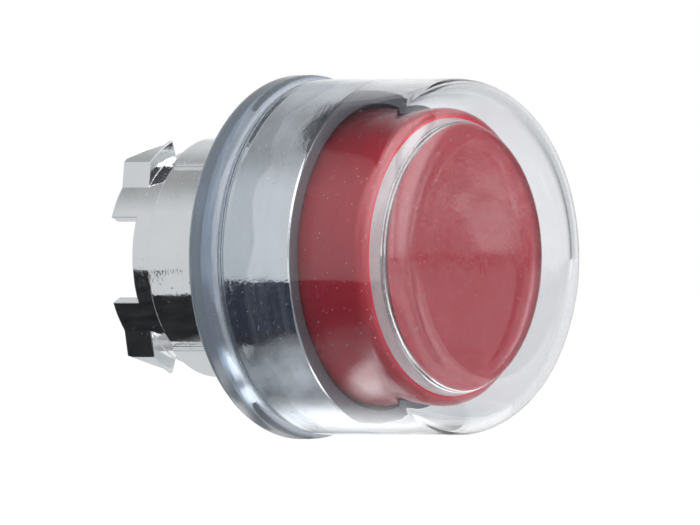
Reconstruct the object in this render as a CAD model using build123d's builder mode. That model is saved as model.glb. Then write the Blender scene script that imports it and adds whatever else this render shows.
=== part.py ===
"""Sprung push-button head for a 22 mm panel hole, with a clear protective boot.

Millimetres. The button axis lies along Y: the front of the head looks toward -Y,
up is +Z, and the origin is on the axis in the plane of the panel's front face.
Every lengthwise position is given as "a", the distance in front of the panel.
"""
import os
from math import cos, radians, sin

from build123d import *

os.makedirs("parts", exist_ok=True)

# ---------------------------------------------------------------- driving dimensions
barrel_r = 11.0            # barrel that fills the 22 mm panel hole
side_r = 10.5              # relieved sides of the barrel
side_half_angle = 51.0     # relief runs this far above and below the horizontal
full_round_back = -3.0     # the barrel is fully round from the panel plane back to here
land_r = 11.2              # centring land under the boot's gasket lip
rear_r = 10.94             # the barrel is a touch slimmer behind its full round stretch
barrel_back = -8.5         # rear edge of the barrel
collar_r = 9.8             # narrower collar behind the barrel
collar_back = -10.75
bore_r = 8.7               # bore of barrel and collar
lug_front = -10.6          # locking shoulder of the four lugs
finger_back = -13.6        # rear end of the four fingers
lug_r = 11.25
lug_high = 70.0            # angle at which each finger and lug ends near the top or bottom
finger_top = 21.6          # angle at which the upper fingers start
finger_bottom = 25.1       # angle at which the lower fingers start
lug_top = 37.5             # angle at which the upper lugs start
lug_bottom = 37.5          # angle at which the lower lugs start
lug_side = [(5.99, -12.0), (7.96, -3.0), (7.87, 3.0), (6.8, 12.0)]  # drafted sides, (x, z)
lead_edge = (3.25, 9.8)    # point (x, z) on the rear edge of each lead-in slope
lead_tilt = (0.24, 0.27)   # its fall per millimetre sideways and rearwards

gasket_t = 1.2             # boot lip under the flange, seals against the panel
flange_back = gasket_t
flange_front = 2.6
flange_r = 14.95
throat_r = 7.4             # opening through the flange for the return spring
rim_r = 12.0               # locating rim that centres the bezel ring
rim_front = 3.6
web_front = -5.0           # inner web that carries the guide sleeve and the spring
web_back = -6.4

bezel_r = 15.25
bezel_front = 11.05
bezel_open_r = 13.85       # opening around the cap
bezel_step = 3.7           # bezel is relieved behind this plane for the boot bead
bezel_foot = 3.1

boot_bead_r = 16.55
boot_bead_w = 2.7
boot_groove_r = 15.75
boot_wall_r = 16.15
boot_front_r = 16.14
boot_bead_round = 1.2      # rear edge of the bead
boot_round = 4.1           # outer rounding of the boot front
boot_front = 22.65
boot_skin = 0.9
boot_gap = 0.02            # fit of the boot over the bezel

travel = 4.0
cap_r = 13.5
cap_face = 17.7
cap_edge = 1.0
cap_top = 1.8
cap_skirt_in = 12.3
cap_skirt_back = 7.4
boss_r = 4.6
boss_back = 11.5
lens_base_r = 12.5
lens_top_r = 12.0
lens_front = 19.2
lens_edge = 0.85

stem_r = 3.0
stem_front = 15.5
stem_back = -7.4
stem_collar_r = 7.0
stem_collar_t = 1.8
spigot_r = 2.0
spigot_back = -8.9
running_gap = 0.06

sleeve_r = 4.2
sleeve_front = 2.2
sleeve_back = -6.45
sleeve_flange_r = 5.4
sleeve_seat_r = 5.0        # stub that sits in the web

spring_wire = 0.8
spring_mean_r = 6.15
seat_t = 0.5

clip_groove_r = 2.4
clip_t = 0.5
clip_front = -6.7
clip_r = 4.4

pusher_r = 7.6
pusher_front = -7.45
pusher_back = -9.0


# ---------------------------------------------------------------- helpers
def lathe(corners, rounds=()):
    """Revolve a closed outline of (radius, a) corners; rounds = (radius, a, fillet)."""
    with BuildPart() as turned:
        with BuildSketch(Plane.XY) as outline:
            with BuildLine():
                Polyline([(r, -a) for r, a in corners], close=True)
            make_face()
            for r, a, size in rounds:
                spot = Vector(r, -a, 0)
                near = outline.vertices().sort_by_distance(spot)[0]
                fillet(near, size)
        revolve(axis=Axis.Y)
    return turned


def sector(r0, r1, low, high):
    """Add a ring sector to the current sketch, angles in degrees from +X."""
    with BuildLine() as edge:
        outer = CenterArc((0, 0), r1, low, high - low)
        inner = CenterArc((0, 0), r0, low, high - low)
        Line(outer @ 0, inner @ 0)
        Line(outer @ 1, inner @ 1)
    make_face(edge.edges())


def cross_plane(a):
    """Plane across the axis at distance a, looking toward the front."""
    return Plane(origin=(0, -a, 0), x_dir=(1, 0, 0), z_dir=(0, -1, 0))


# ---------------------------------------------------------------- barrel housing
housing_outline = [
    (land_r, flange_back),
    (flange_r, flange_back),
    (flange_r, flange_front),
    (rim_r - 0.02, flange_front),
    (rim_r - 0.02, rim_front),
    (rim_r - 1.0, rim_front),
    (rim_r - 1.0, flange_front),
    (throat_r, flange_front),
    (throat_r, 0.4),
    (bore_r, 0.4),
    (bore_r, web_front),
    (sleeve_seat_r, web_front),
    (sleeve_seat_r, web_back),
    (bore_r, web_back),
    (bore_r, collar_back),
    (collar_r, collar_back),
    (collar_r, barrel_back),
    (rear_r, barrel_back),
    (rear_r, full_round_back),
    (barrel_r, full_round_back),
    (barrel_r, 0.0),
    (land_r, 0.0),
]
housing_blank = lathe(housing_outline, [(rear_r, barrel_back, 0.25)])
with BuildPart() as barrel_housing:
    add(housing_blank.part)
    # relieved sides of the barrel
    with BuildSketch(cross_plane(barrel_back - 0.02)):
        for middle in (0, 180):
            sector(side_r, barrel_r + 0.5, middle - side_half_angle, middle + side_half_angle)
    extrude(amount=full_round_back - barrel_back + 0.02, mode=Mode.SUBTRACT)
    # fingers that carry the lugs
    with BuildSketch(cross_plane(finger_back)):
        for low, high in ((finger_top, lug_high - 6), (6 - lug_high, -finger_bottom)):
            sector(bore_r, collar_r, low, high)
            sector(bore_r, collar_r, 180 - high, 180 - low)
    extrude(amount=collar_back - finger_back + 0.5)
    # four locking lugs with drafted sides
    with BuildSketch(cross_plane(finger_back)):
        for low, high in ((lug_top, lug_high), (-lug_high, -lug_bottom)):
            sector(collar_r - 0.3, lug_r, low, high)
            sector(collar_r - 0.3, lug_r, 180 - high, 180 - low)
        other_side = [(-x, z) for x, z in reversed(lug_side)]
        Polygon(*lug_side, *other_side, align=None, mode=Mode.INTERSECT)
    extrude(amount=lug_front - finger_back)
    # lead-in slope at the rear of each lug
    for across in (1, -1):
        for upward in (1, -1):
            slope = Plane(
                origin=(across * lead_edge[0], -finger_back, upward * lead_edge[1]),
                x_dir=(1, 0, -across * lead_tilt[0] * upward),
                z_dir=(across * lead_tilt[0], lead_tilt[1], upward),
            )
            with BuildSketch(slope):
                with Locations((across * 0.7, 0)):
                    Rectangle(7.6, 5.6)
            extrude(amount=2.5, mode=Mode.SUBTRACT)
barrel_housing.part.label = "barrel_housing"
export_step(barrel_housing.part, "parts/barrel_housing.step")

# ---------------------------------------------------------------- bezel ring
bezel_outline = [
    (rim_r, flange_front),
    (flange_r, flange_front),
    (flange_r, bezel_step - 0.3),
    (bezel_r, bezel_step),
    (bezel_r, bezel_front),
    (bezel_open_r, bezel_front),
    (bezel_open_r, bezel_foot),
    (rim_r, bezel_foot),
]
bezel_ring = lathe(
    bezel_outline,
    [(bezel_r, bezel_front, 0.25), (bezel_open_r, bezel_front, 0.15), (bezel_open_r, bezel_foot, 0.3)],
)
bezel_ring.part.label = "bezel_ring"
export_step(bezel_ring.part, "parts/bezel_ring.step")

# ---------------------------------------------------------------- clear boot
boot_in_r = bezel_r + boot_gap
relief_in_r = flange_r + boot_gap
boot_outline = [
    (barrel_r + 0.5, 0.0),
    (boot_bead_r, 0.0),
    (boot_bead_r, boot_bead_w),
    (boot_groove_r, boot_bead_w + 0.4),
    (boot_wall_r, boot_bead_w + 1.1),
    (boot_wall_r, bezel_front - 0.6),
    (boot_front_r, bezel_front + 2.5),
    (boot_front_r, boot_front),
    (0.0, boot_front - 0.1),
    (0.0, boot_front - boot_skin - 0.1),
    (boot_front_r - boot_skin, boot_front - boot_skin),
    (boot_front_r - boot_skin, bezel_front + 2.5),
    (boot_in_r, bezel_front - 0.2),
    (boot_in_r, bezel_step),
    (relief_in_r, bezel_step - 0.3),
    (relief_in_r, gasket_t),
    (barrel_r + 0.5, gasket_t),
]
boot = lathe(
    boot_outline,
    [
        (boot_bead_r, 0.0, boot_bead_round),
        (boot_bead_r, boot_bead_w, 0.85),
        (boot_groove_r, boot_bead_w + 0.4, 0.25),
        (boot_wall_r, boot_bead_w + 1.1, 0.3),
        (boot_front_r, boot_front, boot_round),
        (boot_front_r - boot_skin, boot_front - boot_skin, boot_round - boot_skin),
    ],
)
boot.part.label = "boot"
export_step(boot.part, "parts/boot.step")

# ---------------------------------------------------------------- guide sleeve
guide_sleeve = lathe(
    [
        (stem_r + running_gap, sleeve_back),
        (sleeve_seat_r - 0.02, sleeve_back),
        (sleeve_seat_r - 0.02, web_front),
        (sleeve_flange_r, web_front),
        (sleeve_flange_r, web_front + 0.8),
        (sleeve_r, web_front + 0.8),
        (sleeve_r, sleeve_front),
        (stem_r + running_gap, sleeve_front),
    ],
    [(sleeve_flange_r, web_front + 0.8, 0.2)],
)
guide_sleeve.part.label = "guide_sleeve"
export_step(guide_sleeve.part, "parts/guide_sleeve.step")

# ---------------------------------------------------------------- lip seal and its retainer
lip_seal = lathe(
    [
        (stem_r + 0.5, sleeve_front),
        (sleeve_r, sleeve_front),
        (sleeve_r, sleeve_front + 1.6),
        (stem_r + 0.55, sleeve_front + 1.6),
        (stem_r + 0.04, sleeve_front + 1.0),
        (stem_r + 0.04, sleeve_front + 0.7),
    ]
)
lip_seal.part.label = "lip_seal"
export_step(lip_seal.part, "parts/lip_seal.step")

seal_retainer = lathe(
    [
        (sleeve_r + 0.02, sleeve_front - 1.4),
        (sleeve_r + 0.52, sleeve_front - 1.4),
        (sleeve_r + 0.52, sleeve_front + 2.1),
        (stem_r + 0.35, sleeve_front + 2.1),
        (stem_r + 0.35, sleeve_front + 1.6),
        (sleeve_r + 0.02, sleeve_front + 1.6),
    ],
    [(sleeve_r + 0.52, sleeve_front + 2.1, 0.35)],
)
seal_retainer.part.label = "seal_retainer"
export_step(seal_retainer.part, "parts/seal_retainer.step")

# ---------------------------------------------------------------- spring seat and return spring
spring_seat = lathe(
    [
        (sleeve_flange_r + 0.05, web_front),
        (bore_r - 0.15, web_front),
        (bore_r - 0.15, web_front + seat_t),
        (sleeve_flange_r + 0.05, web_front + seat_t),
    ]
)
spring_seat.part.label = "spring_seat"
export_step(spring_seat.part, "parts/spring_seat.step")

stem_collar_back = boss_back - stem_collar_t
spring_low = web_front + seat_t + spring_wire / 2
spring_high = stem_collar_back - spring_wire / 2
spring_turns = 7
with BuildPart() as return_spring:
    with BuildLine() as coil:
        Helix(
            pitch=(spring_high - spring_low) / spring_turns,
            height=spring_high - spring_low,
            radius=spring_mean_r,
            center=(0, -spring_low, 0),
            direction=(0, -1, 0),
        )
    with BuildSketch(Plane(origin=coil.line @ 0, z_dir=coil.line % 0)):
        Circle(spring_wire / 2)
    sweep()
return_spring.part.label = "return_spring"
export_step(return_spring.part, "parts/return_spring.step")

# ---------------------------------------------------------------- stem
stem = lathe(
    [
        (0.0, stem_front),
        (stem_r, stem_front),
        (stem_r, boss_back),
        (stem_collar_r, boss_back),
        (stem_collar_r, stem_collar_back),
        (stem_r, stem_collar_back),
        (stem_r, clip_front + 0.02),
        (clip_groove_r, clip_front + 0.02),
        (clip_groove_r, clip_front - clip_t - 0.02),
        (stem_r, clip_front - clip_t - 0.02),
        (stem_r, stem_back),
        (spigot_r, stem_back),
        (spigot_r, spigot_back),
        (0.0, spigot_back),
    ],
    [(stem_r, stem_front, 0.3), (stem_collar_r, boss_back, 0.2)],
)
stem.part.label = "stem"
export_step(stem.part, "parts/stem.step")

# ---------------------------------------------------------------- cap and its clear face disc
cap_outline = [
    (0.0, cap_face),
    (cap_r, cap_face),
    (cap_r, cap_skirt_back),
    (cap_skirt_in, cap_skirt_back),
    (cap_skirt_in, cap_face - cap_top),
    (boss_r, cap_face - cap_top),
    (boss_r, boss_back),
    (stem_r + 0.02, boss_back),
    (stem_r + 0.02, stem_front + 0.05),
    (0.0, stem_front + 0.05),
]
cap_blank = lathe(
    cap_outline,
    [
        (cap_r, cap_face, cap_edge),
        (cap_r, cap_skirt_back, 0.3),
        (cap_skirt_in, cap_face - cap_top, 0.6),
        (boss_r, cap_face - cap_top, 0.5),
    ],
)
with BuildPart() as button_cap:
    add(cap_blank.part)
    # stiffening ribs between boss and skirt
    with BuildSketch(cross_plane(cap_face - cap_top - 2.0)):
        for k in range(6):
            with Locations(Rot(0, 0, 60 * k) * Pos(0.5 * (boss_r + cap_skirt_in), 0)):
                Rectangle(cap_skirt_in - boss_r + 0.4, 0.9)
    extrude(amount=2.2)
button_cap.part.label = "button_cap"
export_step(button_cap.part, "parts/button_cap.step")

face_disc = lathe(
    [
        (0.0, cap_face),
        (lens_base_r, cap_face),
        (lens_top_r, lens_front),
        (0.0, lens_front),
    ],
    [(lens_top_r, lens_front, lens_edge)],
)
face_disc.part.label = "face_disc"
export_step(face_disc.part, "parts/face_disc.step")

# ---------------------------------------------------------------- retaining clip
clip_gap = 62.0
with BuildPart() as stem_clip:
    with BuildSketch(cross_plane(clip_front - clip_t)):
        sector(clip_groove_r + 0.03, clip_r, -90 + clip_gap / 2, 270 - clip_gap / 2)
    extrude(amount=clip_t)
    ends = stem_clip.edges().filter_by(Axis.Y).group_by(Axis.Z)[0]
    fillet(ends, 0.3)
stem_clip.part.label = "stem_clip"
export_step(stem_clip.part, "parts/stem_clip.step")

# ---------------------------------------------------------------- rear pusher plate
pusher_blank = lathe(
    [
        (spigot_r + 0.02, pusher_front),
        (pusher_r, pusher_front),
        (pusher_r, pusher_back),
        (spigot_r + 0.02, pusher_back),
    ],
    [(pusher_r, pusher_back, 0.5)],
)
with BuildPart() as contact_pusher:
    add(pusher_blank.part)
    # shallow pads that meet the plungers of the contact blocks
    with BuildSketch(cross_plane(pusher_back - 0.4)):
        with PolarLocations(5.0, 4, start_angle=45):
            Circle(1.5)
    extrude(amount=0.6)
contact_pusher.part.label = "contact_pusher"
export_step(contact_pusher.part, "parts/contact_pusher.step")
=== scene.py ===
import math

import bmesh
import bpy
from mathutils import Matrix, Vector


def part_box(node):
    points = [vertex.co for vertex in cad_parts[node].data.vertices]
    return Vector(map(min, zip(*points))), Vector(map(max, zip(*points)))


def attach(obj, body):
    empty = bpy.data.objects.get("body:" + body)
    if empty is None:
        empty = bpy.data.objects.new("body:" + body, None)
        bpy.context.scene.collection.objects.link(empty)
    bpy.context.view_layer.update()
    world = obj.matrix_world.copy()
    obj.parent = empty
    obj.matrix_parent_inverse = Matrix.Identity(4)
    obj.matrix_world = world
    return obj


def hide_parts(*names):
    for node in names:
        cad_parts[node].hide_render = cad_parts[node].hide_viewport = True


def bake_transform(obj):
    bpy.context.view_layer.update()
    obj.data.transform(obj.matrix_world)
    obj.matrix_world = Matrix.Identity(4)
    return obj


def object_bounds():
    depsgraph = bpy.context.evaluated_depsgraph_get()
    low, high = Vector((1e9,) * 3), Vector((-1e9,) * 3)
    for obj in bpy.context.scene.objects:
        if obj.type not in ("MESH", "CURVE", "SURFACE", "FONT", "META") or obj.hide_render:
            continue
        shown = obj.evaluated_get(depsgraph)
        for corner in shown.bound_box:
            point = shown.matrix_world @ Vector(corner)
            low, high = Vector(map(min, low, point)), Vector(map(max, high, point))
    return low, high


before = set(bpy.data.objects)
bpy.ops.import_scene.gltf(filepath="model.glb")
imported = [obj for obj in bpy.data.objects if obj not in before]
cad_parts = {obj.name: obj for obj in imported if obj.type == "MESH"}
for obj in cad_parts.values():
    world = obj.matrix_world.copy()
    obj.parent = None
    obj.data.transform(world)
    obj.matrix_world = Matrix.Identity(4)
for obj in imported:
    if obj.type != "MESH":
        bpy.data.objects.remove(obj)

cad_low, cad_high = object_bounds()

MM = 0.001
AROUND = 192                    # facets around a turned piece
FILLET_STEP = math.radians(7)   # turn between two points of a fillet
SHARP = 35                      # degrees at which an edge is drawn sharp
ON_AXIS = 1e-6


# ---------------------------------------------------------------- sizes, millimetres
def extent(name):
    """A turned node's radius, and how far its back and front lie before the panel."""
    low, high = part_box(name)
    return round(high.x / MM, 2), round(-high.y / MM, 2), round(-low.y / MM, 2)


BEZEL_R, FLANGE_FRONT, BEZEL_FRONT = extent("bezel_ring")
CAP_R, CAP_BACK, CAP_FACE = extent("button_cap")
DISC_R, _, DISC_FRONT = extent("face_disc")
COIL_R, COIL_BACK, COIL_FRONT = extent("return_spring")
BEAD_R = extent("boot")[0]

FLANGE_R = BEZEL_R - 0.3        # the housing's flange, under the bezel
RIM_R = BEZEL_R - 3.25          # rim that centres the bezel
BEZEL_OPEN_R = BEZEL_R - 1.4
BEZEL_FOOT = FLANGE_FRONT + 0.5
BEZEL_RELIEF = FLANGE_FRONT + 0.8
BEZEL_STEP = FLANGE_FRONT + 1.1
GASKET_R = 11.5                 # bore of the boot's lip under the flange
GASKET_T = 1.2
BEAD_FRONT = FLANGE_FRONT + 0.1
GROOVE_R = BEAD_R - 0.8
BOOT_R = BEAD_R - 0.4           # wall around the bezel
BOOT_FRONT_R = BOOT_R - 0.01
BOOT_FOLD = BEZEL_FRONT + 2.5   # the wall is free in front of here
BOOT_FRONT = CAP_FACE + 4.95
SKIN = 0.9
DISH = 0.1                      # the boot's front is very slightly dished
CONTACT = 0.01                  # the boot's bore lies this far inside the bezel
CAP_SKIRT_R = CAP_R - 1.2
CAP_INNER = CAP_FACE - 1.8      # back of the cap's face
BOSS_R = 4.6
BOSS_BACK = 11.5
STEM_R = 3.02
STEM_FRONT = 15.55
DISC_FRONT_R = DISC_R - 0.5
DISC_BACK = CAP_FACE + 0.005

# stretches along Y over which a finish changes, or a painted highlight or shade begins
BEAD_EDGE = (-3.6, -2.4)
WALL_EDGE = (-11.4, -10.4)
FRONT_EDGE = (-13.5, -10.5)
# the next two bound a thin pale stripe that is a painted highlight
GROOVE_HIGHLIGHT_BACK = (-3.0, -2.85)
GROOVE_HIGHLIGHT_FRONT = (-3.2, -3.35)
VEIL_EDGE = (-10.9, -10.3)
HAZE_EDGE = (-3.0, -2.2)
CLINGING_EDGE = (-6.9, -6.5)
BARE_EDGE = (-3.6, -3.2)
# where the cap's side starts to take its painted shade
SIDE_SHADE_EDGE = (-17.695, -17.66)


# ---------------------------------------------------------------- mesh helpers
def rounded(corners):
    """Corners are (radius, a, fillet); returns the outline as (radius, a) points."""
    points = []
    count = len(corners)
    for i, (x, y, size) in enumerate(corners):
        here = Vector((x, y))
        if size <= 0:
            points.append(here)
            continue
        back = (Vector(corners[i - 1][:2]) - here).normalized()
        on = (Vector(corners[(i + 1) % count][:2]) - here).normalized()
        half = back.angle(on) / 2
        centre = here + (back + on).normalized() * (size / math.sin(half))
        first = here + back * (size / math.tan(half)) - centre
        last = here + on * (size / math.tan(half)) - centre
        start = math.atan2(first.y, first.x)
        sweep = (math.atan2(last.y, last.x) - start + math.pi) % (2 * math.pi) - math.pi
        steps = max(3, math.ceil(abs(sweep) / FILLET_STEP))
        for k in range(steps + 1):
            t = start + sweep * k / steps
            points.append(centre + size * Vector((math.cos(t), math.sin(t))))
    return points


def dense(points, step):
    """Adds points along the outline so that no run is longer than step."""
    out = []
    for i, p in enumerate(points):
        q = points[(i + 1) % len(points)]
        parts = max(1, math.ceil((q - p).length / step)) if step else 1
        out += [p.lerp(q, k / parts) for k in range(parts)]
    return out


def lathe(name, corners, step=0):
    """A closed turned piece; a is the distance in front of the panel, along -Y."""
    points = dense(rounded(corners), step)
    mesh = bmesh.new()
    rings = []
    for p in points:
        if p.x < ON_AXIS:
            rings.append([mesh.verts.new((0, -p.y * MM, 0))])
            continue
        ring = []
        for k in range(AROUND):
            t = 2 * math.pi * k / AROUND
            x, z = p.x * math.cos(t), p.x * math.sin(t)
            ring.append(mesh.verts.new((x * MM, -p.y * MM, z * MM)))
        rings.append(ring)
    for i, ring in enumerate(rings):
        other = rings[(i + 1) % len(rings)]
        if len(ring) == 1 and len(other) == 1:
            continue
        for k in range(AROUND):
            n = (k + 1) % AROUND
            if len(ring) == 1:
                mesh.faces.new((ring[0], other[n], other[k]))
            elif len(other) == 1:
                mesh.faces.new((ring[k], ring[n], other[0]))
            else:
                mesh.faces.new((ring[k], ring[n], other[n], other[k]))
    return finished(name, mesh)


def linked(name, mesh):
    """A new object in the scene that holds the mesh."""
    data = bpy.data.meshes.new(name)
    mesh.to_mesh(data)
    mesh.free()
    made = bpy.data.objects.new(name, data)
    bpy.context.scene.collection.objects.link(made)
    return made


def finished(name, mesh, sharp=SHARP):
    """A smooth piece with its faces turned outwards."""
    if mesh.calc_volume(signed=True) < 0:
        bmesh.ops.reverse_faces(mesh, faces=mesh.faces)
    made = linked(name, mesh)
    made.data.shade_smooth()
    made.data.set_sharp_from_angle(angle=math.radians(sharp))
    return made


def two_finishes(piece, first, second, has_second):
    """Gives the faces that has_second picks the second material."""
    piece.data.materials.append(first)
    piece.data.materials.append(second)
    for face in piece.data.polygons:
        if has_second(face):
            face.material_index = 1


def stand_for(piece, node, body, material):
    """The piece takes a CAD node's place; a blended piece has no single body."""
    if material:
        piece.data.materials.append(material)
    if body:
        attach(piece, body)
    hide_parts(node)


# ---------------------------------------------------------------- material helpers
def new_material(name, **values):
    """A Principled material with constant values set on its own sockets."""
    made = bpy.data.materials.new(name)
    made.use_nodes = True
    shader = made.node_tree.nodes["Principled BSDF"]
    for key, value in values.items():
        shader.inputs[key.replace("_", " ")].default_value = value
    return made, made.node_tree, shader


def node(tree, kind, **values):
    """A node with its sockets and settings given by name."""
    made = tree.nodes.new(kind)
    for key, value in values.items():
        if key in made.inputs:
            made.inputs[key].default_value = value
        else:
            setattr(made, key, value)
    return made


def place(tree):
    """The piece's own coordinates, in metres."""
    return tree.nodes.new("ShaderNodeTexCoord").outputs["Object"]


def noise(tree, where, scale, detail):
    made = node(tree, "ShaderNodeTexNoise", Scale=scale, Detail=detail)
    tree.links.new(where, made.inputs["Vector"])
    return made.outputs["Fac"]


def spread(tree, source, low, high, out_low, out_high, kind="LINEAR"):
    """Maps low..high to out_low..out_high."""
    made = node(tree, "ShaderNodeMapRange", interpolation_type=kind)
    limits = {"From Min": low, "From Max": high, "To Min": out_low, "To Max": out_high}
    for key, value in limits.items():
        made.inputs[key].default_value = value
    tree.links.new(source, made.inputs["Value"])
    return made.outputs["Result"]


def roughness(tree, shader, source, low, high, out_low, out_high):
    """Roughness that follows a value."""
    rough = spread(tree, source, low, high, out_low, out_high)
    tree.links.new(rough, shader.inputs["Roughness"])


def mixed(tree, amount, one, two, how="MIX"):
    """Two colours blended, each given as a colour or as a socket."""
    made = node(tree, "ShaderNodeMix", data_type="RGBA", blend_type=how)
    tree.links.new(amount, made.inputs["Factor"])
    for key, value in (("A", one), ("B", two)):
        if isinstance(value, tuple):
            made.inputs[key].default_value = (*value, 1)
        else:
            tree.links.new(value, made.inputs[key])
    return made.outputs["Result"]


def axes(tree, where):
    """The X, Y and Z of a vector."""
    made = tree.nodes.new("ShaderNodeSeparateXYZ")
    tree.links.new(where, made.inputs["Vector"])
    return made.outputs


def along(tree, where, y_from, y_to, at_from, at_to):
    """A value that changes with the distance along the button axis, y in millimetres."""
    low, high = sorted(((y_from, at_from), (y_to, at_to)))
    return spread(tree, axes(tree, where)["Y"], low[0] * MM, high[0] * MM, low[1], high[1])


def together(tree, operation, one, two):
    """Two values joined by a maths operation, the second a value or a number."""
    made = node(tree, "ShaderNodeMath", operation=operation)
    tree.links.new(one, made.inputs[0])
    if isinstance(two, (int, float)):
        made.inputs[1].default_value = two
    else:
        tree.links.new(two, made.inputs[1])
    return made.outputs["Value"]


def length_of(tree, vector):
    """A vector's length."""
    made = node(tree, "ShaderNodeVectorMath", operation="LENGTH")
    tree.links.new(vector, made.inputs[0])
    return made.outputs["Value"]


def stretched(tree, where, factors):
    """A vector multiplied by a factor on each axis."""
    made = node(tree, "ShaderNodeVectorMath", operation="MULTIPLY")
    made.inputs[1].default_value = factors
    tree.links.new(where, made.inputs[0])
    return made.outputs["Vector"]


def bump(tree, shader, height, strength, distance, under=None):
    """Adds a bump over the normal given as under, and returns the new normal."""
    made = node(tree, "ShaderNodeBump", Strength=strength, Distance=distance)
    tree.links.new(height, made.inputs["Height"])
    if under:
        tree.links.new(under, made.inputs["Normal"])
    tree.links.new(made.outputs["Normal"], shader.inputs["Normal"])
    return made.outputs["Normal"]


def rings(tree, where, per_metre):
    """Fine turning marks: noise in the distance from the button axis alone."""
    radius = length_of(tree, stretched(tree, where, (1, 0, 1)))
    join = tree.nodes.new("ShaderNodeCombineXYZ")
    tree.links.new(together(tree, "MULTIPLY", radius, per_metre), join.inputs["X"])
    return noise(tree, join.outputs["Vector"], 1.0, 2.0)


# ---------------------------------------------------------------- materials
def chrome_material():
    """Plating, a little duller on the bezel where the boot clings to it."""
    made, tree, shader = new_material("chrome", Metallic=1.0)
    where = place(tree)
    tint = noise(tree, where, 260, 4)
    plated = mixed(tree, tint, (0.83, 0.855, 0.87), (0.92, 0.935, 0.945))
    wander = spread(tree, noise(tree, where, 130, 2), 0.2, 0.8, -1.6 * MM, 1.6 * MM)
    height = together(tree, "ADD", axes(tree, where)["Y"], wander)
    low, high = CLINGING_EDGE
    clinging = spread(tree, height, low * MM, high * MM, 0, 1)
    clinging = together(tree, "MULTIPLY", clinging, along(tree, where, *BARE_EDGE, 1, 0))
    duller = mixed(tree, clinging, plated, (0.80, 0.82, 0.83), "MULTIPLY")
    tree.links.new(duller, shader.inputs["Base Color"])
    roughness(tree, shader, noise(tree, where, 900, 4), 0.3, 0.75, 0.03, 0.11)
    edge = node(tree, "ShaderNodeBevel", samples=6, Radius=0.16 * MM)
    first = bump(tree, shader, noise(tree, where, 150, 2), 0.25, 0.0004, edge.outputs["Normal"])
    peel = bump(tree, shader, noise(tree, where, 3200, 2), 0.22, 0.00003, first)
    specks = spread(tree, noise(tree, where, 2600, 2), 0.70, 0.76, 0, 1)
    bump(tree, shader, specks, 0.35, 0.00004, peel)
    return made


def satin_material():
    """The bezel's front face and bore, with turning marks."""
    made, tree, shader = new_material("satin_metal", Metallic=0.6, Anisotropic=0.5)
    marks = rings(tree, place(tree), 16000)
    grey_blue = mixed(tree, marks, (0.18, 0.19, 0.225), (0.30, 0.315, 0.36))
    tree.links.new(grey_blue, shader.inputs["Base Color"])
    roughness(tree, shader, marks, 0.3, 0.7, 0.36, 0.50)
    bump(tree, shader, marks, 0.35, 0.00005)
    return made


def silicone_material():
    """Clear front, paler wall around the bezel, grey-blue bead, and a thin milky stripe between
    bead and wall that is a painted highlight.
    """
    made, tree, shader = new_material("clear_silicone", IOR=1.41)
    where = place(tree)
    bead = along(tree, where, *BEAD_EDGE, 0, 1)
    tint = tree.nodes.new("ShaderNodeValToRGB")
    tint.color_ramp.elements[0].color = (0.95, 0.965, 0.98, 1)
    tint.color_ramp.elements[1].color = (0.50, 0.58, 0.68, 1)
    middle = tint.color_ramp.elements.new(0.5)
    middle.color = (0.91, 0.945, 0.995, 1)
    wall = along(tree, where, *WALL_EDGE, 0, 1)
    zone = spread(tree, together(tree, "ADD", bead, wall), 0, 2, 0, 1)
    tree.links.new(zone, tint.inputs["Fac"])
    tree.links.new(tint.outputs["Color"], shader.inputs["Base Color"])
    clear = together(
        tree,
        "MULTIPLY",
        along(tree, where, *FRONT_EDGE, 0.99, 0.982),
        along(tree, where, *BEAD_EDGE, 1.0, 0.82),
    )
    # painted highlight: a thin stripe between bead and wall lets less light through, so it shows
    # as a pale line
    groove_highlight = together(
        tree,
        "MAXIMUM",
        along(tree, where, *GROOVE_HIGHLIGHT_FRONT, 0.7, 1.0),
        along(tree, where, *GROOVE_HIGHLIGHT_BACK, 0.7, 1.0),
    )
    clear = together(tree, "MULTIPLY", clear, groove_highlight)
    hoops = noise(tree, stretched(tree, where, (0.06, 1, 0.06)), 520, 3)
    veils = spread(tree, hoops, 0.45, 0.62, 1.0, 0.965)
    kept = node(tree, "ShaderNodeMix")
    tree.links.new(along(tree, where, *VEIL_EDGE, 0.0, 1.0), kept.inputs["Factor"])
    kept.inputs["A"].default_value = 1.0
    tree.links.new(veils, kept.inputs["B"])
    clear = together(tree, "MULTIPLY", clear, kept.outputs["Result"])
    dust = node(tree, "ShaderNodeTexVoronoi", Scale=1400.0)
    tree.links.new(where, dust.inputs["Vector"])
    free = spread(tree, dust.outputs["Distance"], 0.05, 0.08, 0.35, 1.0)
    tree.links.new(together(tree, "MULTIPLY", clear, free), shader.inputs["Transmission Weight"])
    patches = spread(tree, noise(tree, where, 500, 3), 0.3, 0.8, 0.0, 0.06)
    haze = together(tree, "ADD", patches, along(tree, where, *HAZE_EDGE, 0.0, 0.16))
    tree.links.new(haze, shader.inputs["Roughness"])
    first = bump(tree, shader, noise(tree, where, 110, 2), 0.035, 0.0004)
    bump(tree, shader, noise(tree, where, 1900, 2), 0.04, 0.00002, first)
    absorb = node(tree, "ShaderNodeVolumeAbsorption", Density=70.0)
    absorb.inputs["Color"].default_value = (0.72, 0.745, 0.78, 1)
    out = next(n for n in tree.nodes if n.type == "OUTPUT_MATERIAL")
    tree.links.new(absorb.outputs["Volume"], out.inputs["Volume"])
    return made


def painted_reflection_material():
    """The disc's side wall, frosted pale so that it shows whitish: a painted reflection in place
    of the light mirrored inside the disc.
    """
    made, tree, shader = new_material(
        "frosted_edge_painted_reflection", Transmission_Weight=0.5, IOR=1.46, Base_Color=(0.98, 0.95, 0.95, 1)
    )
    roughness(tree, shader, noise(tree, place(tree), 1800, 3), 0.3, 0.8, 0.08, 0.25)
    return made


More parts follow.
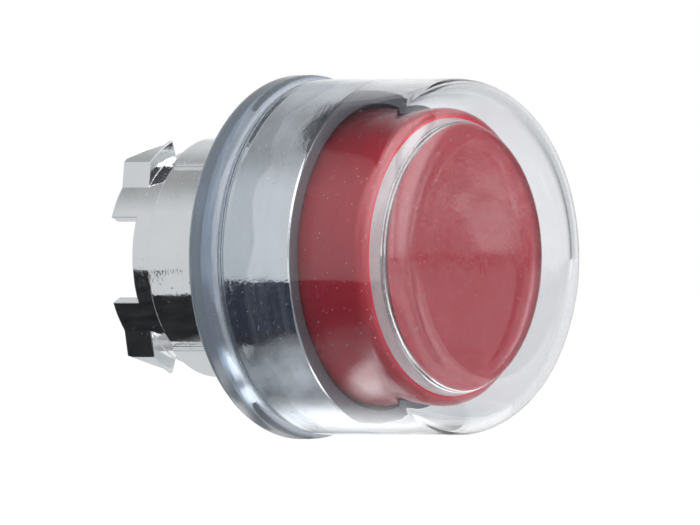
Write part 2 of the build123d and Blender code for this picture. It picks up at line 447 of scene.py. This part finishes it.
def disc_material():
    """Clear plastic with faint turning marks."""
    made, tree, shader = new_material(
        "clear_disc", Transmission_Weight=1.0, IOR=1.46, Base_Color=(0.98, 0.97, 0.97, 1)
    )
    where = place(tree)
    roughness(tree, shader, noise(tree, where, 700, 3), 0.3, 0.8, 0.01, 0.07)
    bump(tree, shader, rings(tree, where, 1100), 0.08, 0.00006)
    return made


def red_material(name, gloss, coat):
    """Moulded red; the cap's side is painted darker than its face, a painted shade."""
    made, tree, shader = new_material(
        name, Specular_IOR_Level=gloss, Coat_Weight=coat, Coat_Roughness=0.12
    )
    where = place(tree)
    grain = noise(tree, where, 6500, 2)
    cloud = noise(tree, where, 90, 2)
    # painted shade: the side takes a darker copy of the red, the face the lit one
    lit_red = mixed(tree, grain, (0.80, 0.004, 0.036), (0.96, 0.012, 0.060))
    shaded_red = mixed(tree, grain, (0.34, 0.002, 0.014), (0.44, 0.006, 0.022))
    front = along(tree, where, *SIDE_SHADE_EDGE, 1.0, 0.25)
    tree.links.new(mixed(tree, front, shaded_red, lit_red), shader.inputs["Base Color"])
    roughness(tree, shader, cloud, 0.3, 0.7, 0.22, 0.34)
    bump(tree, shader, grain, 0.18, 0.00004)
    return made


def plastic_material(name, dark, light, rough):
    """Moulded plastic or rubber with a fine grain."""
    made, tree, shader = new_material(name)
    grain = noise(tree, place(tree), 3800, 3)
    tree.links.new(mixed(tree, grain, dark, light), shader.inputs["Base Color"])
    roughness(tree, shader, grain, 0.3, 0.7, rough - 0.06, rough + 0.06)
    bump(tree, shader, grain, 0.2, 0.00004)
    return made


def steel_material(name, dark, light):
    """Plated or drawn steel, slightly streaked."""
    made, tree, shader = new_material(name, Metallic=1.0)
    streak = noise(tree, place(tree), 1500, 4)
    tree.links.new(mixed(tree, streak, dark, light), shader.inputs["Base Color"])
    roughness(tree, shader, streak, 0.3, 0.7, 0.22, 0.42)
    bump(tree, shader, streak, 0.15, 0.00003)
    return made


chrome = chrome_material()
satin = satin_material()
silicone = silicone_material()
clear_disc = disc_material()
frosted_painted_reflection = painted_reflection_material()
red = red_material("red_plastic", 0.5, 0.3)
red_face = red_material("red_face", 0.12, 0.0)
black = plastic_material("black_plastic", (0.018, 0.018, 0.019), (0.035, 0.035, 0.037), 0.45)
white = plastic_material("white_plastic", (0.70, 0.69, 0.65), (0.80, 0.79, 0.75), 0.4)
rubber = plastic_material("black_rubber", (0.012, 0.012, 0.012), (0.026, 0.026, 0.026), 0.6)
grey = plastic_material("grey_plastic", (0.07, 0.07, 0.075), (0.11, 0.11, 0.115), 0.42)
steel = steel_material("plated_steel", (0.48, 0.49, 0.50), (0.62, 0.63, 0.64))
wire = steel_material("spring_wire", (0.34, 0.34, 0.35), (0.46, 0.46, 0.47))

cad_materials = {
    "guide_sleeve": white,
    "lip_seal": rubber,
    "seal_retainer": steel,
    "spring_seat": steel,
    "stem": black,
    "stem_clip": wire,
    "contact_pusher": grey,
    "barrel_housing": chrome,
}
for name, finish in cad_materials.items():
    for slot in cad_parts[name].material_slots:
        slot.material = finish

# ---------------------------------------------------------------- boot
boot = lathe(
    "boot_skin",
    [
        (GASKET_R, 0.0, 0),
        (BEAD_R, 0.0, 1.2),
        (BEAD_R, BEAD_FRONT, 0.85),
        (GROOVE_R, BEZEL_FOOT, 0.25),
        (BOOT_R, BEZEL_STEP + 0.1, 0.3),
        (BOOT_R, BEZEL_FRONT - 0.6, 0),
        (BOOT_FRONT_R, BOOT_FOLD, 0),
        (BOOT_FRONT_R, BOOT_FRONT, 4.1),
        (0.0, BOOT_FRONT - DISH, 0),
        (0.0, BOOT_FRONT - SKIN - DISH, 0),
        (BOOT_FRONT_R - SKIN, BOOT_FRONT - SKIN, 3.2),
        (BOOT_FRONT_R - SKIN, BOOT_FOLD, 0),
        (BEZEL_R - CONTACT, BEZEL_FRONT - 0.2, 0),
        (BEZEL_R - CONTACT, BEZEL_STEP, 0),
        (FLANGE_R + 0.02, BEZEL_RELIEF, 0),
        (FLANGE_R + 0.02, GASKET_T, 0),
        (GASKET_R, GASKET_T, 0),
    ],
    step=1.2,
)
stand_for(boot, "boot", None, silicone)
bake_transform(boot)

# ---------------------------------------------------------------- bezel ring
bezel = lathe(
    "bezel",
    [
        (RIM_R, FLANGE_FRONT, 0),
        (FLANGE_R, FLANGE_FRONT, 0),
        (FLANGE_R, BEZEL_RELIEF, 0),
        (BEZEL_R, BEZEL_STEP, 0),
        (BEZEL_R, BEZEL_FRONT, 0.2),
        (BEZEL_OPEN_R, BEZEL_FRONT, 0.12),
        (BEZEL_OPEN_R, BEZEL_FOOT, 0.3),
        (RIM_R, BEZEL_FOOT, 0),
    ],
)


def satin_side(face):
    """The bezel's front face and its bore."""
    front = face.normal.y < -0.85 and face.center.y < -(BEZEL_FRONT - 0.15) * MM
    inward = face.normal.x * face.center.x + face.normal.z * face.center.z < 0
    return front or (inward and face.center.y < -(BEZEL_FOOT - 0.1) * MM)


two_finishes(bezel, chrome, satin, satin_side)
stand_for(bezel, "bezel_ring", "housing", None)

# ---------------------------------------------------------------- cap and clear disc
cap = lathe(
    "cap",
    [
        (0.0, CAP_FACE, 0),
        (CAP_R, CAP_FACE, 1.0),
        (CAP_R, CAP_BACK, 0.3),
        (CAP_SKIRT_R, CAP_BACK, 0.2),
        (CAP_SKIRT_R, CAP_INNER, 0.6),
        (BOSS_R, CAP_INNER, 0.5),
        (BOSS_R, BOSS_BACK, 0.15),
        (STEM_R, BOSS_BACK, 0),
        (STEM_R, STEM_FRONT, 0),
        (0.0, STEM_FRONT, 0),
    ],
)
two_finishes(cap, red, red_face, lambda face: face.center.y < -(CAP_FACE - 0.01) * MM)
stand_for(cap, "button_cap", "pusher", None)
disc = lathe(
    "clear_disc",
    [
        (0.0, DISC_BACK, 0),
        (DISC_R, DISC_BACK, 0.05),
        (DISC_FRONT_R, DISC_FRONT, 0.85),
        (0.0, DISC_FRONT, 0),
    ],
)


def disc_side(face):
    """The disc's side wall behind its rounded front edge."""
    return abs(face.normal.y) < 0.5 and face.center.y > -(DISC_FRONT - 0.45) * MM


# the disc's side wall takes the pale frosting, a painted reflection
two_finishes(disc, clear_disc, frosted_painted_reflection, disc_side)
stand_for(disc, "face_disc", "pusher", None)

# ---------------------------------------------------------------- return spring
SPRING_WIRE = 0.39      # radius of the wire
INSET = 0.4             # from the node's edges to the middle of the wire
SPRING_R = round(COIL_R - INSET, 2)
SPRING_LOW = round(COIL_BACK + INSET, 2)
SPRING_HIGH = round(COIL_FRONT - INSET, 2)
SPRING_TURNS = 7
PER_TURN = 48           # sections of wire in a turn
WIRE_SIDES = 12
coil = bmesh.new()
sections = []
for k in range(SPRING_TURNS * PER_TURN + 1):
    part = k / (SPRING_TURNS * PER_TURN)
    turn = 2 * math.pi * SPRING_TURNS * part
    outward = Vector((math.cos(turn), 0, math.sin(turn)))
    forward = SPRING_LOW + (SPRING_HIGH - SPRING_LOW) * part
    centre = outward * SPRING_R + Vector((0, -forward, 0))
    ring = []
    for j in range(WIRE_SIDES):
        t = 2 * math.pi * j / WIRE_SIDES
        off = SPRING_WIRE * (math.cos(t) * outward + Vector((0, math.sin(t), 0)))
        ring.append(coil.verts.new((centre + off) * MM))
    sections.append(ring)
for one, other in zip(sections, sections[1:]):
    for j in range(WIRE_SIDES):
        n = (j + 1) % WIRE_SIDES
        coil.faces.new((one[j], one[n], other[n], other[j]))
coil.faces.new(sections[0][::-1])
coil.faces.new(sections[-1])
bmesh.ops.recalc_face_normals(coil, faces=coil.faces)
spring = finished("coil_spring", coil, 50)
stand_for(spring, "return_spring", None, wire)
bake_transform(spring)

# ---------------------------------------------------------------- camera
AZIMUTH = math.radians(-54)
DISTANCE = 2000.0       # millimetres, far off, so the view is nearly parallel
PER_MM = 11.0           # picture width per millimetre, in parts of WIDTH
WIDTH = 700.0
ASIDE = 58.5 / PER_MM   # the head sits left of the middle and a little above it
BELOW = 5.5 / PER_MM
towards = Vector((math.sin(AZIMUTH), -math.cos(AZIMUTH), 0))
right = Vector((math.cos(AZIMUTH), math.sin(AZIMUTH), 0))
up = Vector((0, 0, 1))
camera_data = bpy.data.cameras.new("camera")
camera_data.sensor_width = 36.0
camera_data.lens = PER_MM * DISTANCE * camera_data.sensor_width / WIDTH
camera_data.clip_start = 0.01
camera_data.clip_end = 20
camera = bpy.data.objects.new("camera", camera_data)
bpy.context.scene.collection.objects.link(camera)
camera.location = (towards * DISTANCE + right * ASIDE - up * BELOW) * MM
camera.rotation_mode = "QUATERNION"
camera.rotation_quaternion = (-towards).to_track_quat("-Z", "Y")
bpy.context.scene.camera = camera

# ---------------------------------------------------------------- floor, surroundings and light
def sheet(name, centre, size, facing, finish):
    """A flat stage rectangle that faces a direction."""
    mesh = bmesh.new()
    bmesh.ops.create_grid(mesh, x_segments=1, y_segments=1, size=0.5)
    made = linked(name, mesh)
    made.scale = (size[0], size[1], 1)
    made.rotation_mode = "QUATERNION"
    made.rotation_quaternion = Vector(facing).to_track_quat("Z", "Y")
    made.location = centre
    made.data.materials.append(finish)
    return made


def polygon(name, corners, height, finish):
    """A flat stage card on the floor, corners in millimetres."""
    mesh = bmesh.new()
    mesh.faces.new([mesh.verts.new((x * MM, y * MM, height)) for x, y in corners])
    made = linked(name, mesh)
    made.data.materials.append(finish)
    return made


def only_reflected(card):
    """The card shows in reflections and through the clear pieces alone."""
    card.visible_camera = False
    card.visible_diffuse = False
    card.visible_shadow = False


def emitter(name, colour):
    """A stage material that gives light and reflects none."""
    return new_material(
        name,
        Base_Color=(0, 0, 0, 1),
        Roughness=1.0,
        Specular_IOR_Level=0.0,
        Emission_Color=(*colour, 1),
        Emission_Strength=1.0,
    )


def plain(name, colour):
    """An even emitter."""
    return emitter(name, colour)[0]


def soft_lamp(name, strength):
    """An emitter that fades towards its edges."""
    made, tree, shader = emitter(name, (1, 1, 1))
    fade = spread(tree, length_of(tree, place(tree)), 0.15, 0.5, strength, 0.4, "SMOOTHSTEP")
    tree.links.new(fade, shader.inputs["Emission Strength"])
    return made


def dark_card():
    """Near black and bluish, paler and more neutral towards its edges, with streaks."""
    made, tree, shader = emitter("dark_card", (1, 1, 1))
    x_y_z = axes(tree, place(tree))
    slant = together(tree, "ADD", together(tree, "MULTIPLY", x_y_z["Y"], -0.9), x_y_z["X"])
    across = together(tree, "ADD", together(tree, "MULTIPLY", x_y_z["X"], 0.55), x_y_z["Y"])
    grade = spread(tree, slant, -20 * MM, -12.5 * MM, 0.022, 0.36)
    neutral = together(
        tree,
        "MAXIMUM",
        spread(tree, across, -3 * MM, 1 * MM, 0, 1),
        spread(tree, slant, -26 * MM, -18 * MM, 0, 1),
    )
    colour = mixed(tree, neutral, (0.55, 0.80, 1.60), (0.97, 1.0, 1.05))
    tree.links.new(colour, shader.inputs["Emission Color"])
    blotch = spread(tree, noise(tree, place(tree), 300, 4), 0.3, 0.7, 0.6, 1.4)
    strength = together(tree, "MULTIPLY", grade, blotch)
    tree.links.new(strength, shader.inputs["Emission Strength"])
    return made


FLOOR = cad_low.z - 0.4 * MM
FLOOR_SIZE = 12         # metres
PALE = FLOOR + 0.1 * MM     # the cards and lamps on the floor lie in this order
DARK = FLOOR + 0.2 * MM
LAMP = FLOOR + 0.3 * MM
SMALL_LAMP = FLOOR + 0.4 * MM
FAR = 5900              # reach of the pale cards, millimetres

floor_finish = new_material(
    "pale_floor",
    Base_Color=(0.05, 0.05, 0.05, 1),
    Roughness=0.9,
    Specular_IOR_Level=0.0,
    Emission_Color=(1, 1, 1, 1),
    Emission_Strength=0.98,
)[0]
sheet("floor", (0, 0, FLOOR), (FLOOR_SIZE, FLOOR_SIZE), (0, 0, 1), floor_finish)

left_field = [(-FAR, -20), (-FAR, FAR), (40, FAR), (40, 8), (0, 8), (0, -20)]
right_field = [(12, -200), (12, 8), (40, 8), (40, FAR), (FAR, FAR), (FAR, -200)]
near_shade = [
    (-69, -60), (-69, 36), (-43, 20), (-27, 17), (-27, 25),
    (-6.5, 25), (-6.5, 3), (-3, -2), (-8, -60),
]
far_shade = [(-74, 56), (-74, 85), (-6.5, 85), (-6.5, 25), (-27, 25), (-46, 37)]
dark = dark_card()
for name, corners, height, finish in (
    ("card_floor", left_field, PALE, plain("floor_glow", (0.64, 0.65, 0.66))),
    ("card_right", right_field, PALE, plain("right_glow", (0.84, 0.84, 0.85))),
    ("card_low", near_shade, DARK, dark),
    ("card_back", far_shade, DARK, dark),
):
    only_reflected(polygon(name, corners, height, finish))

toward_top = Vector((-0.05, -0.572, 0.82))
lamp_top = sheet("lamp_top", toward_top * 0.4, (0.30, 0.22), -toward_top, soft_lamp("lamp_a", 5.0))
only_reflected(lamp_top)
lamp_low = sheet(
    "lamp_low", (-0.004, -0.009, LAMP), (0.008, 0.034), (0, 0, 1), soft_lamp("lamp_b", 1.4)
)
only_reflected(lamp_low)

card_rear = sheet(
    "card_rear",
    (-towards * 35 - right * 13 + up * 8) * MM,
    (0.012, 0.008),
    towards,
    plain("rear_glow", (0.07, 0.07, 0.08)),
)
only_reflected(card_rear)
card_rear.visible_transmission = False
card_lug = sheet(
    "card_lug",
    (-0.0085, -0.006, 0.026),
    (0.024, 0.030),
    (0, 0.588, -0.79),
    plain("lug_glow", (0.06, 0.06, 0.07)),
)
only_reflected(card_lug)
for name, x, y, strength in (
    ("lamp_bead_low", -8.5, 2.4, 3.2),
    ("lamp_bead_high", -13.5, 3.9, 3.2),
    ("lamp_side", -12.0, -13.0, 3.0),
):
    lamp = soft_lamp(name + "_glow", strength)
    spot = (x * MM, y * MM, SMALL_LAMP)
    only_reflected(sheet(name, spot, (0.009, 0.006), (0, 0, 1), lamp))
toward_face = Vector((0.25, -0.92, 0.30))
lamp_face = sheet(
    "lamp_face", toward_face * 0.5, (0.5, 0.5), -toward_face, soft_lamp("lamp_c", 3.6)
)
only_reflected(lamp_face)
lamp_face.visible_glossy = False

world = bpy.data.worlds.new("world")
bpy.context.scene.world = world
world.use_nodes = True
sky = world.node_tree
direction = sky.nodes.new("ShaderNodeTexCoord").outputs["Generated"]


def lobe(toward, near, far):
    """1 close to a direction and 0 away from it, near and far being cosines."""
    dot = node(sky, "ShaderNodeVectorMath", operation="DOT_PRODUCT")
    dot.inputs[1].default_value = toward
    sky.links.new(direction, dot.inputs[0])
    return spread(sky, dot.outputs["Value"], far, near, 0, 1, "SMOOTHSTEP")


HEIGHTS = ((0.35, 0.66), (0.58, 0.66), (0.68, 0.58), (0.76, 0.44), (0.81, 0.34), (0.90, 0.70))
ramp = sky.nodes.new("ShaderNodeValToRGB")
ramp.color_ramp.elements[0].position = 0.0
ramp.color_ramp.elements[0].color = (0.66, 0.67, 0.68, 1)
ramp.color_ramp.elements[1].position = 1.0
ramp.color_ramp.elements[1].color = (0.60, 0.61, 0.62, 1)
for height, level in HEIGHTS:
    stop = ramp.color_ramp.elements.new(height)
    stop.color = (level, level * 1.01, level * 1.02, 1)
sky.links.new(axes(sky, direction)["Z"], ramp.inputs["Fac"])
shade = ramp.outputs["Color"]
for toward, near, far, colour in (
    ((-0.35, -0.70, 0.62), 0.85, 0.30, (2.5, 2.5, 2.5)),        # fill from the upper left
    ((0.809, -0.588, 0.0), 0.96, 0.82, (0.20, 0.20, 0.21)),     # what the front faces mirror
    (tuple(towards), 0.97, 0.80, (0.35, 0.35, 0.35)),
    (tuple(-towards), 0.993, 0.90, (1.0, 1.0, 1.0)),            # plain white behind the head
):
    shade = mixed(sky, lobe(toward, near, far), shade, colour)
sky.links.new(shade, sky.nodes["Background"].inputs["Color"])
sky.nodes["Background"].inputs["Strength"].default_value = 1.0

CLEAR_BOUNCES = 24      # light passes many walls of the boot and the disc
bpy.context.scene.view_settings.view_transform = "Standard"
bpy.context.scene.cycles.max_bounces = CLEAR_BOUNCES
bpy.context.scene.cycles.transmission_bounces = CLEAR_BOUNCES
bpy.context.scene.cycles.glossy_bounces = 12
